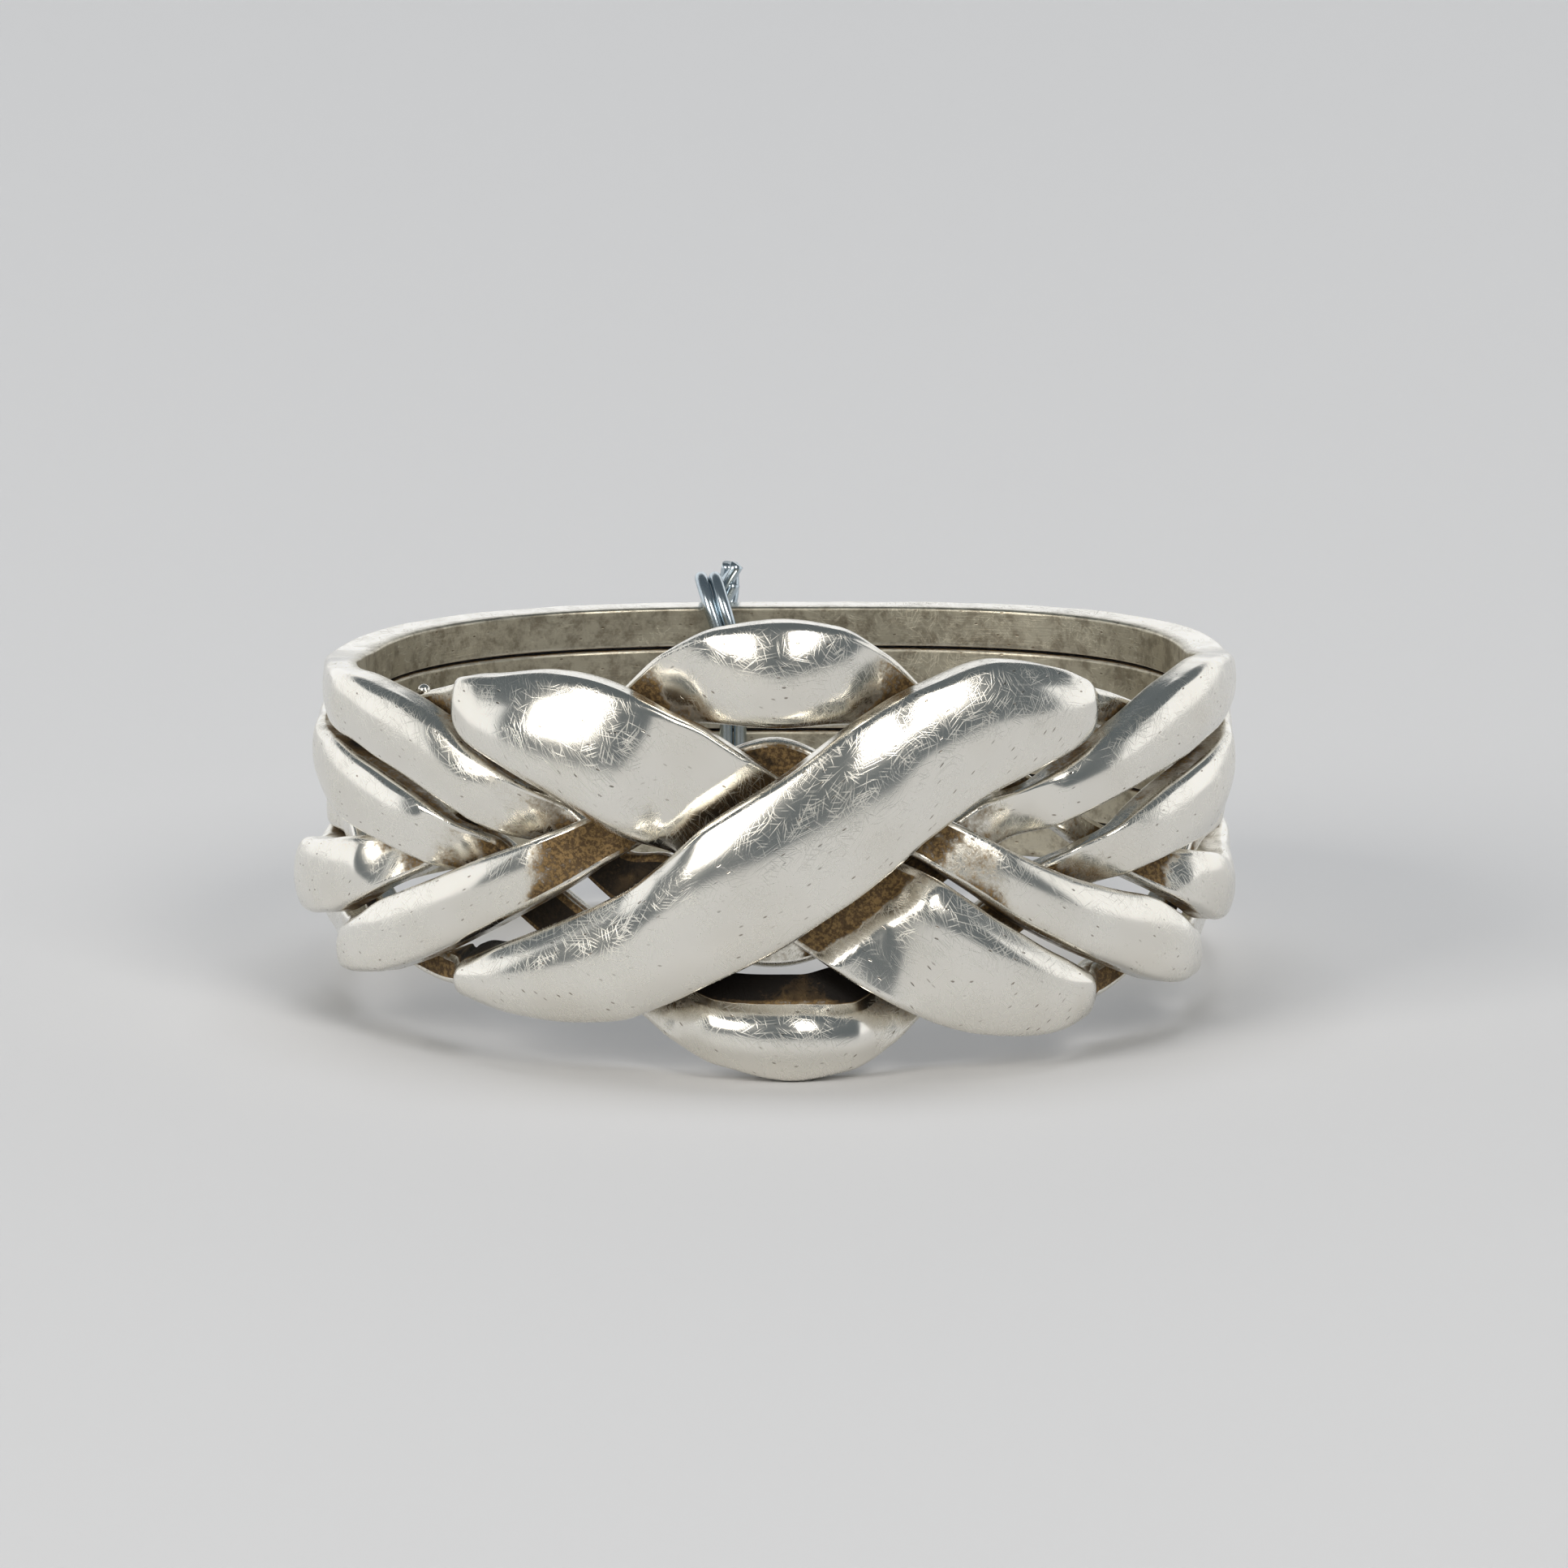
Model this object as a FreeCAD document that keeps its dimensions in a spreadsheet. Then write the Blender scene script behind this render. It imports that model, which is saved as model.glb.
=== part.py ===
import FreeCAD, Part
import math
import os
import sys

# Woven six-band puzzle ring, held shut by a wire tie round the back.
# Frame: +Z up along the finger, origin on the bore axis at mid height of the rim stack,
# the knot faces -Y, the wire tie sits at the back (+Y). Lengths in millimetres.

doc = FreeCAD.newDocument("puzzle_ring")

# Driving dimensions: (alias, value, what it is)
DIMENSIONS = [
    ("bore_radius", 9.70, "inside radius of the bands at the back of the ring"),
    ("rim_depth", 1.00, "radial thickness of a band where it is plain rim"),
    ("rim_crown", 0.05, "how far the outside of the rim bulges past its edges"),
    ("rim_half", 0.47, "half the height of one band in the rim stack"),
    ("stack_pitch", 1.00, "height from one band to the next in the rim stack"),
    ("rim_angle", 112.0, "angle from the front beyond which a band is plain rim"),
    ("square_left", 0.08, "how far the back left corner is pushed out, share of radius"),
    ("square_right", 0.14, "how far the back right corner is pushed out, share of radius"),
    ("wire_radius", 0.225, "radius of the tie wire"),
    ("bend_radius", 0.95, "bend radius of the tie over and under the rim stack"),
    ("loop_side", -1.35, "sideways place of the tie"),
    ("loop_depth", 10.15, "distance of the tie's middle behind the bore axis"),
    ("loop_top", 2.75, "height of the upper bend's centre"),
    ("loop_bottom", -3.05, "height of the lower bend's centre"),
    ("tail_start", 2.10, "height at which the spare end leaves the outer leg"),
    ("tail_length", 1.70, "length of the spare end"),
    ("tail_tilt", 14.0, "sideways tilt of the spare end in degrees"),
]

sheet = doc.addObject("Spreadsheet::Sheet", "dimensions")
for row, (alias, value, meaning) in enumerate(DIMENSIONS, start=1):
    sheet.set("A%d" % row, alias)
    sheet.set("B%d" % row, str(value))
    sheet.set("C%d" % row, meaning)
    sheet.setAlias("B%d" % row, alias)
doc.recompute()

SECTION_STEP = 3  # degrees between one band section and the next

# Order of the bands in the rim stack at the back, as levels above the middle of the stack.
LEVELS = {"band_1": 2.5, "band_2": 1.5, "band_3": 0.5, "band_4": -0.5, "band_5": -1.5, "band_6": -2.5}

# Stations along each band, from left to right round the front. Angle 0 is the middle of the
# knot and angles grow towards +X. Each station is
# (angle, height of the middle, lift of the inside off the bore, half height,
#  lean: change of radius per height, depth at the edges, crown of the outside).
# A band lies on the bore where others cross over it, and is lifted where it crosses over them.
STATIONS = {
    "band_1": [
        (-90, 2.8, 0.02, 0.53, 0, 0.85, 0.06), (-76, 2.98, 0.4, 0.62, 0, 0.7, 0.12),
        (-64, 2.98, 0.8, 0.76, 0, 0.7, 0.2), (-54, 2.72, 0.85, 0.88, 0, 0.7, 0.25),
        (-46, 2.27, 0.85, 0.93, 0, 0.7, 0.25), (-40, 1.75, 0.85, 0.84, 0, 0.7, 0.22),
        (-36, 1.4, 0.75, 0.8, 0.15, 0.65, 0.18), (-32.5, 1.06, 0.4, 0.76, 0.55, 0.52, 0.08),
        (-28, 0.6, 0.02, 0.68, 0, 0.48, 0), (-20, -0.4, 0, 0.66, 0, 0.48, 0),
        (-14, -0.64, 0, 0.86, 0, 0.52, 0), (-10, -1.25, 0, 0.66, 0, 0.54, 0), (0, -1.62, 0, 0.72, 0, 0.56, 0),
        (10, -1.2, 0, 0.66, 0, 0.54, 0), (20, -0.14, 0, 0.66, 0, 0.46, 0),
        (28, 0.7, 0.02, 0.64, 0, 0.48, 0), (32.5, 1.1, 0.4, 0.64, 0.55, 0.52, 0.08),
        (37, 1.48, 0.78, 0.7, 0.1, 0.68, 0.2), (46, 2.12, 0.85, 0.8, 0, 0.7, 0.25),
        (58, 2.8, 0.82, 0.95, 0, 0.7, 0.25), (68, 3.06, 0.65, 0.88, 0, 0.72, 0.22),
        (78, 3.05, 0.35, 0.7, 0, 0.8, 0.15), (92, 2.85, 0.08, 0.55, 0, 0.95, 0.08),
    ],
    "band_2": [
        (-92, 1.66, 0.16, 0.48, 0, 0.84, 0.05), (-84, 1.66, 0.5, 0.52, 0, 0.56, 0.1),
        (-75, 1.47, 0.72, 0.66, 0, 0.62, 0.15), (-64, 1.1, 0.85, 0.88, 0, 0.68, 0.2),
        (-54, 0.76, 0.88, 0.84, 0.03, 0.68, 0.22), (-48, 0.42, 0.8, 0.78, 0.12, 0.65, 0.18),
        (-43.5, 0.02, 0.42, 0.72, 0.62, 0.5, 0.05), (-39, -0.42, 0.04, 0.7, 0, 0.5, 0),
        (-28, -1.62, 0, 0.7, 0, 0.56, 0), (-18, -2.78, 0.02, 0.7, 0, 0.6, 0),
        (-13, -3.27, 0.3, 0.74, -0.2, 0.6, 0.08), (-7, -3.7, 0.75, 0.78, -0.05, 0.72, 0.28),
        (2, -3.9, 0.9, 0.93, 0, 0.75, 0.35), (9, -3.82, 0.68, 0.82, -0.1, 0.7, 0.26),
        (15, -3.38, 0.25, 0.76, -0.2, 0.56, 0.08), (20, -2.8, 0.02, 0.7, 0, 0.58, 0),
        (28, -1.8, 0, 0.68, 0, 0.56, 0), (36, -1, 0.02, 0.66, 0, 0.5, 0),
        (41, -0.55, 0.2, 0.66, 0.5, 0.46, 0), (45, -0.2, 0.56, 0.68, 0.55, 0.5, 0.08),
        (49, 0.12, 0.8, 0.76, 0.18, 0.62, 0.16), (55, 0.5, 0.88, 0.84, 0.03, 0.68, 0.22),
        (64, 0.8, 0.85, 0.9, 0, 0.68, 0.2), (74, 1.22, 0.72, 0.72, 0, 0.62, 0.15),
        (82, 1.48, 0.5, 0.58, 0, 0.58, 0.1), (92, 1.58, 0.15, 0.5, 0, 0.85, 0.06),
    ],
    "band_3": [
        (-98, 0.54, 0, 0.47, 0, 0.95, 0.05), (-90, 0.62, 0, 0.42, 0, 0.55, 0.02),
        (-82, 0.9, 0, 0.4, 0, 0.36, 0), (-72, 1.62, 0, 0.42, 0, 0.5, 0),
        (-62, 2.45, 0, 0.44, 0, 0.6, 0), (-53, 3.05, 0, 0.45, 0, 0.6, 0),
        (-47, 3.38, 0.02, 0.43, 0, 0.58, 0), (-43.5, 3.66, 0.4, 0.42, 0, 0.66, 0.12),
        (-40, 3.54, 0.85, 0.7, 0, 0.78, 0.3), (-36, 3.42, 0.95, 0.93, 0, 0.8, 0.5),
        (-28, 3.18, 0.98, 1.38, 0, 0.8, 0.7), (-18, 2.52, 1.04, 1.74, 0.06, 0.7, 0.62),
        (-13, 2.1, 0.92, 1.72, 0.2, 0.56, 0.24), (-8, 1.5, 0.86, 1.84, 0.1, 0.55, 0.06),
        (0, 0.45, 0.76, 1.84, 0, 0.55, 0.03), (8, -0.58, 0.85, 1.8, -0.1, 0.55, 0.06),
        (13, -1.28, 0.92, 1.68, -0.2, 0.56, 0.1), (18, -1.74, 1.04, 1.72, -0.04, 0.7, 0.36),
        (27, -2.58, 0.98, 1.38, 0, 0.8, 0.48), (36, -3.12, 0.92, 0.88, 0, 0.8, 0.38),
        (40, -3.22, 0.78, 0.6, 0, 0.76, 0.28), (43.5, -3.28, 0.4, 0.4, 0, 0.66, 0.1),
        (47, -3.17, 0.04, 0.4, 0, 0.6, 0), (54, -2.76, 0, 0.42, 0, 0.6, 0),
        (62, -2.17, 0, 0.42, 0, 0.58, 0), (69, -1.52, 0, 0.42, 0, 0.5, 0),
        (75, -0.92, 0.02, 0.36, 0, 0.4, 0), (79, -0.44, 0.2, 0.32, 0, 0.36, 0),
        (84, -0.1, 0.52, 0.34, 0, 0.38, 0), (91, 0.34, 0.52, 0.38, 0, 0.42, 0.03),
        (99, 0.54, 0.25, 0.43, 0, 0.72, 0.05),
    ],
    "band_4": [
        (-99, -0.5, 0, 0.44, 0, 0.9, 0.05), (-90, -0.54, 0, 0.4, 0, 0.46, 0.02),
        (-82, -0.88, 0, 0.4, 0, 0.36, 0), (-72, -1.52, 0, 0.42, 0, 0.48, 0),
        (-62, -2.28, 0, 0.42, 0, 0.58, 0), (-53, -2.76, 0, 0.4, 0, 0.6, 0),
        (-47, -2.92, 0.02, 0.36, 0, 0.6, 0), (-43.5, -2.92, 0.38, 0.33, 0, 0.66, 0.1),
        (-40, -2.84, 0.8, 0.46, 0, 0.78, 0.25), (-34, -2.7, 0.94, 0.8, 0, 0.8, 0.38),
        (-28, -2.5, 0.96, 1.1, 0, 0.8, 0.45), (-18, -1.95, 1.1, 1.5, 0, 0.8, 0.45),
        (-13, -1.38, 1.3, 1.68, 0.05, 0.76, 0.42), (-8, -0.68, 1.46, 1.88, 0.04, 0.75, 0.42),
        (0, 0.27, 1.52, 1.98, 0, 0.75, 0.42), (8, 1.38, 1.46, 2.02, -0.04, 0.75, 0.42),
        (13, 2.02, 1.32, 1.95, -0.06, 0.76, 0.43), (18, 2.6, 1.14, 1.8, 0, 0.8, 0.45),
        (28, 3.36, 0.98, 1.46, 0, 0.8, 0.48), (36, 3.48, 0.94, 1.03, 0, 0.8, 0.4),
        (40, 3.46, 0.8, 0.74, 0, 0.78, 0.3), (43.5, 3.44, 0.4, 0.5, 0, 0.66, 0.12),
        (47, 3.28, 0.02, 0.44, 0, 0.58, 0), (54, 2.86, 0, 0.44, 0, 0.6, 0),
        (62, 2.26, 0, 0.44, 0, 0.58, 0), (70, 1.55, 0, 0.42, 0, 0.5, 0),
        (77, 0.86, 0, 0.38, 0, 0.38, 0), (84, 0.22, 0, 0.36, 0, 0.36, 0),
        (91, -0.32, 0, 0.38, 0, 0.36, 0), (99, -0.53, 0, 0.43, 0, 0.5, 0.02),
    ],
    "band_5": [
        (-98, -1.52, 0.06, 0.46, 0, 0.94, 0.08), (-89, -1.56, 0.58, 0.53, 0, 0.7, 0.12),
        (-78, -1.46, 0.9, 0.88, 0, 0.68, 0.22), (-70, -1.24, 0.82, 0.88, 0, 0.68, 0.22),
        (-63, -0.88, 0.72, 0.78, -0.08, 0.62, 0.18), (-57.5, -0.54, 0.36, 0.62, -0.45, 0.5, 0.06),
        (-52, -0.1, 0.02, 0.5, 0, 0.44, 0), (-46, 0.54, 0, 0.46, 0, 0.42, 0),
        (-39, 1.32, 0, 0.46, 0, 0.42, 0), (-30, 2.3, 0, 0.48, 0, 0.46, 0),
        (-22, 3.25, 0.02, 0.58, 0, 0.58, 0), (-14, 4.2, 0.25, 0.88, 0.2, 0.6, 0.04),
        (-7, 4.58, 0.55, 1.12, 0.1, 0.7, 0.28), (1, 4.66, 0.7, 1.24, 0, 0.75, 0.42),
        (8, 4.56, 0.52, 1.14, 0.1, 0.7, 0.28), (14, 4.16, 0.22, 0.9, 0.2, 0.6, 0.04),
        (22, 3.15, 0, 0.58, 0, 0.58, 0), (28, 2.38, 0, 0.46, 0, 0.44, 0),
        (33, 1.82, 0, 0.42, 0, 0.4, 0), (38, 1.22, 0, 0.42, 0, 0.4, 0), (45, 0.42, 0, 0.42, 0, 0.42, 0),
        (51, -0.18, 0.02, 0.46, 0, 0.44, 0), (57, -0.72, 0.32, 0.54, -0.45, 0.5, 0.04),
        (63, -1.12, 0.68, 0.68, -0.08, 0.62, 0.18), (70, -1.5, 0.7, 0.8, 0, 0.66, 0.2),
        (77, -1.7, 0.6, 0.7, 0, 0.6, 0.18), (84, -1.66, 0.3, 0.62, 0, 0.72, 0.14),
        (92, -1.56, 0.05, 0.5, 0, 0.9, 0.08), (100, -1.5, 0, 0.47, 0, 1, 0.05),
    ],
    "band_6": [
        (-96, -2.56, 0, 0.47, 0, 0.92, 0.05), (-86, -2.76, 0, 0.46, 0, 0.62, 0.05),
        (-77, -2.88, 0.05, 0.46, 0, 0.56, 0.04), (-70, -2.9, 0.44, 0.48, 0, 0.62, 0.1),
        (-66, -2.8, 0.72, 0.56, 0, 0.64, 0.16), (-61, -2.56, 0.8, 0.7, 0, 0.68, 0.2),
        (-55, -2.2, 0.84, 0.86, 0, 0.7, 0.24), (-46, -1.56, 0.84, 0.9, 0, 0.7, 0.24),
        (-38, -0.88, 0.84, 0.88, 0, 0.7, 0.24), (-31, -0.26, 0.82, 0.8, 0, 0.68, 0.2),
        (-25, 0.32, 0.72, 0.72, -0.15, 0.6, 0.08), (-21, 0.78, 0.44, 0.66, -0.42, 0.48, 0),
        (-16, 1.3, 0.08, 0.66, -0.05, 0.52, 0), (-9, 1.88, 0, 0.66, 0, 0.55, 0),
        (0, 2.32, 0, 0.7, 0, 0.55, 0), (8, 1.84, 0, 0.66, 0, 0.55, 0),
        (14, 1.22, 0.04, 0.62, -0.05, 0.52, 0), (18, 0.84, 0.38, 0.62, -0.5, 0.5, 0),
        (21, 0.52, 0.6, 0.68, -0.28, 0.54, 0.04), (25, 0.08, 0.74, 0.74, -0.15, 0.6, 0.1),
        (30, -0.52, 0.82, 0.8, 0, 0.68, 0.2), (39, -1.36, 0.84, 0.86, 0, 0.7, 0.24),
        (46, -1.84, 0.84, 0.92, 0, 0.7, 0.24), (52, -2.2, 0.84, 0.98, 0, 0.7, 0.24),
        (58, -2.58, 0.8, 0.84, 0, 0.68, 0.22), (63, -2.82, 0.72, 0.6, 0, 0.62, 0.15),
        (67, -2.92, 0.42, 0.48, 0, 0.58, 0.08), (72, -2.92, 0.02, 0.44, 0, 0.44, 0.03),
        (80, -2.88, 0, 0.42, 0, 0.36, 0.02), (88, -2.66, 0, 0.44, 0, 0.42, 0.02),
        (98, -2.54, 0, 0.46, 0, 0.65, 0.04),
    ],
}


def read(alias):
    """Value of a driving dimension."""
    return float(sheet.get(alias))


def squareness(angle):
    """Growth of the radius towards the two back corners; 1 all round the front."""
    turned = (angle + 180.0) % 360.0 - 180.0
    if abs(turned) <= 90.0:
        return 1.0
    share = read("square_left") if turned < 0.0 else read("square_right")
    return 1.0 + share * math.sin(math.radians(2.0 * turned)) ** 2


def band_stations(name):
    """All stations of a band, with a plain rim station at each end of the woven front."""
    rim = (LEVELS[name] * read("stack_pitch"), 0.0, read("rim_half"), 0.0, read("rim_depth"), read("rim_crown"))
    return [(-read("rim_angle"),) + rim] + STATIONS[name] + [(read("rim_angle"),) + rim]


def joined_slope(before, after, gap_before, gap_after):
    """Slope of a smooth curve through a station that never overshoots its neighbours."""
    if before * after <= 0.0:
        return 0.0
    weight_before = 2.0 * gap_after + gap_before
    weight_after = gap_after + 2.0 * gap_before
    return (weight_before + weight_after) / (weight_before / before + weight_after / after)


def station_at(stations, angle):
    """Height, lift, half height, lean, depth and crown at any angle of the closed band."""
    first = stations[0][0]
    place = (angle - first) % 360.0 + first
    before = [(s[0] - 360.0,) + s[1:] for s in stations[-2:]]
    after = [(s[0] + 360.0,) + s[1:] for s in stations[:2]]
    ring = before + stations + after
    index = max(i for i, s in enumerate(ring) if s[0] <= place)
    p0, p1, p2, p3 = ring[index - 1:index + 3]
    gap = p2[0] - p1[0]
    t = (place - p1[0]) / gap
    values = []
    for column in range(1, 7):
        slope_before = (p1[column] - p0[column]) / (p1[0] - p0[0])
        slope_here = (p2[column] - p1[column]) / gap
        slope_after = (p3[column] - p2[column]) / (p3[0] - p2[0])
        start = joined_slope(slope_before, slope_here, p1[0] - p0[0], gap)
        end = joined_slope(slope_here, slope_after, gap, p3[0] - p2[0])
        value = (2 * t**3 - 3 * t**2 + 1) * p1[column] + (t**3 - 2 * t**2 + t) * gap * start
        value += (3 * t**2 - 2 * t**3) * p2[column] + (t**3 - t**2) * gap * end
        values.append(value)
    return values


def section_wire(stations, angle):
    """Closed section of a band in the upright plane through the axis at this angle."""
    height, lift, half, lean, depth, crown = station_at(stations, angle)
    growth = squareness(angle)
    outward = FreeCAD.Vector(math.sin(math.radians(angle)), -math.cos(math.radians(angle)), 0.0)

    def corner(side, extra):
        radius = (read("bore_radius") + lift + lean * side * half + extra) * growth
        return outward * radius + FreeCAD.Vector(0.0, 0.0, height + side * half)

    inside_low = corner(-1, 0.0)
    inside_high = corner(1, 0.0)
    outside_high = corner(1, depth)
    outside_low = corner(-1, depth)
    pull = (outside_low + outside_high) * 0.5 + outward * (2.0 * crown * growth)
    crowned = Part.BezierCurve()
    crowned.setPoles([outside_low, pull, outside_high])
    edges = [
        crowned.toShape(),
        Part.makeLine(outside_high, inside_high),
        Part.makeLine(inside_high, inside_low),
        Part.makeLine(inside_low, outside_low),
    ]
    return Part.Wire(edges)


def make_band(name):
    """One closed band of the ring, lofted through its sections all the way round."""
    stations = band_stations(name)
    wires = [section_wire(stations, angle) for angle in range(-180, 180, SECTION_STEP)]
    band = doc.addObject("Part::Feature", name)
    band.Label = name
    band.Shape = Part.makeLoft(wires, True, False, True)
    band.Placement = FreeCAD.Placement()
    return band


def bind(item, expressions):
    """Ties properties of an object to cells of the sheet."""
    for path, expression in expressions.items():
        item.setExpression(path, expression)


def make_tie():
    """Wire loop round the back of all six bands, with one spare end standing up."""
    turned = FreeCAD.Rotation(FreeCAD.Vector(0, 1, 0), FreeCAD.Vector(-1, 0, 0))
    pieces = []
    for name, height, start in (("tie_upper_bend", "loop_top", 0.0), ("tie_lower_bend", "loop_bottom", 180.0)):
        bend = doc.addObject("Part::Torus", name)
        bend.Placement = FreeCAD.Placement(
            FreeCAD.Vector(), FreeCAD.Rotation(FreeCAD.Vector(1, 1, 1), 120.0) * FreeCAD.Rotation(start, 0, 0)
        )
        bend.Angle3 = 180.0
        bind(bend, {
            "Radius1": "dimensions.bend_radius * 1mm",
            "Radius2": "dimensions.wire_radius * 1mm",
            ".Placement.Base.x": "dimensions.loop_side * 1mm",
            ".Placement.Base.y": "dimensions.loop_depth * 1mm",
            ".Placement.Base.z": "dimensions.%s * 1mm" % height,
        })
        pieces.append(bend)
    for name, sign in (("tie_inner_leg", "-"), ("tie_outer_leg", "+")):
        leg = doc.addObject("Part::Cylinder", name)
        bind(leg, {
            "Radius": "dimensions.wire_radius * 1mm",
            "Height": "(dimensions.loop_top - dimensions.loop_bottom) * 1mm",
            ".Placement.Base.x": "dimensions.loop_side * 1mm",
            ".Placement.Base.y": "(dimensions.loop_depth %s dimensions.bend_radius) * 1mm" % sign,
            ".Placement.Base.z": "dimensions.loop_bottom * 1mm",
        })
        pieces.append(leg)
    tail = doc.addObject("Part::Cylinder", "tie_spare_end")
    tail.Placement = FreeCAD.Placement(
        FreeCAD.Vector(), FreeCAD.Rotation(FreeCAD.Vector(0, 1, 0), read("tail_tilt"))
    )
    bind(tail, {
        "Radius": "dimensions.wire_radius * 1mm",
        "Height": "dimensions.tail_length * 1mm",
        ".Placement.Base.x": "dimensions.loop_side * 1mm",
        ".Placement.Base.y": "(dimensions.loop_depth + dimensions.bend_radius + dimensions.wire_radius) * 1mm",
        ".Placement.Base.z": "dimensions.tail_start * 1mm",
    })
    pieces.append(tail)
    tie = doc.addObject("Part::MultiFuse", "tie_wire")
    tie.Label = "tie_wire"
    tie.Shapes = pieces
    return tie


def check(objects, sub_parts):
    """Stops the build if anything failed to compute or is not a sound solid."""
    for item in objects:
        if "Invalid" in item.State or "Error" in item.State:
            sys.exit("%s failed to compute" % item.Label)
    for item in sub_parts:
        shape = item.Shape
        if shape.isNull() or not shape.isValid() or not shape.Solids:
            sys.exit("%s is not a valid solid" % item.Label)
        print("%-9s %7.2f mm3, %d solid(s)" % (item.Label, shape.Volume, len(shape.Solids)))


sub_parts = [make_band(name) for name in LEVELS]
sub_parts.append(make_tie())
doc.recompute()
check(doc.Objects, sub_parts)

os.makedirs("parts", exist_ok=True)
for item in sub_parts:
    item.Shape.exportStep(os.path.join("parts", item.Label + ".step"))
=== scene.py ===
import bpy
import bmesh
import math
import numpy as np
from mathutils import Matrix, Vector, noise
from mathutils.bvhtree import BVHTree


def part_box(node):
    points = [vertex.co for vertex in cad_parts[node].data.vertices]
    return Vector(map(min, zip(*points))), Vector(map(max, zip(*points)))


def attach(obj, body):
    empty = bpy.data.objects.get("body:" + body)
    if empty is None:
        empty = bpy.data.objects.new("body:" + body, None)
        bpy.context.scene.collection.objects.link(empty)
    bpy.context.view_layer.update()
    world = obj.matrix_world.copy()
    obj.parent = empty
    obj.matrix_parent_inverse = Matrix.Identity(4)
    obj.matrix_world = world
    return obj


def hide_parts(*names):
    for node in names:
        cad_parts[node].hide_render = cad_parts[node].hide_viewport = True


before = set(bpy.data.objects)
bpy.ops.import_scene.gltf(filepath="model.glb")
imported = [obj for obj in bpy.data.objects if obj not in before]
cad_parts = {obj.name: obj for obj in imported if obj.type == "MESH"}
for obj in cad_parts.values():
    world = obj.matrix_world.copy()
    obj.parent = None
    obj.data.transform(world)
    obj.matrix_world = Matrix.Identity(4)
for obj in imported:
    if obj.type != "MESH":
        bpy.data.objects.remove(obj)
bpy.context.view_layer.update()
mm = 0.001
print("frame loaded:", len(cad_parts), "nodes")


def linearColour(hexColour):
    # sRGB hex to the linear values that the shaders use
    channels = [int(hexColour[i:i + 2], 16) / 255 for i in (1, 3, 5)]
    return [c / 12.92 if c <= 0.04045 else ((c + 0.055) / 1.055) ** 2.4 for c in channels] + [1.0]


def addNode(tree, kind, output=0, inputs=None, **settings):
    # adds a node with its settings and links, and gives one of its outputs, if it has any; an
    # input is either a number or colour, or another node's output
    made = tree.nodes.new(kind)
    for name, value in settings.items():
        setattr(made, name, value)
    for name, value in (inputs or {}).items():
        if isinstance(value, bpy.types.NodeSocket):
            tree.links.new(value, made.inputs[name])
        else:
            made.inputs[name].default_value = value
    return None if output is None else made.outputs[output]


def newMaterial(name):
    made = bpy.data.materials.new(name)
    made.use_nodes = True
    made.node_tree.nodes.clear()
    return made, made.node_tree


def objectFromBmesh(bm, name, material):
    mesh = bpy.data.meshes.new(name)
    bm.to_mesh(mesh)
    bm.free()
    made = bpy.data.objects.new(name, mesh)
    bpy.context.scene.collection.objects.link(made)
    mesh.materials.append(material)
    for polygon in mesh.polygons:
        polygon.use_smooth = True
    return made


camera = {
    "distance": 0.60,
    "elevation": 9.4,       # above the plane of the ring, in degrees
    "seenWidth": 36.94 * mm,  # width of the picture at the ring
    "aimRight": 0.21 * mm,
    "aimUp": 0.29 * mm,
}


def makeCamera():
    data = bpy.data.cameras.new("camera")
    data.sensor_width = 36.0
    data.lens = data.sensor_width * camera["distance"] / camera["seenWidth"]
    data.clip_start = 0.01
    data.clip_end = 20.0
    made = bpy.data.objects.new("camera", data)
    tilt = math.radians(camera["elevation"])
    back = Vector((0, -math.cos(tilt), math.sin(tilt)))
    up = Vector((0, math.sin(tilt), math.cos(tilt)))
    aim = Vector((camera["aimRight"], 0, 0)) + up * camera["aimUp"]
    made.location = aim + back * camera["distance"]
    made.rotation_euler = (-back).to_track_quat("-Z", "Y").to_euler()
    bpy.context.scene.collection.objects.link(made)
    bpy.context.scene.camera = made


makeCamera()

# The same stations as the bands' own: (angle, height of the middle, lift of the inside off the
# bore, half height, lean, depth at the edges, crown), in millimetres and degrees.

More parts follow.
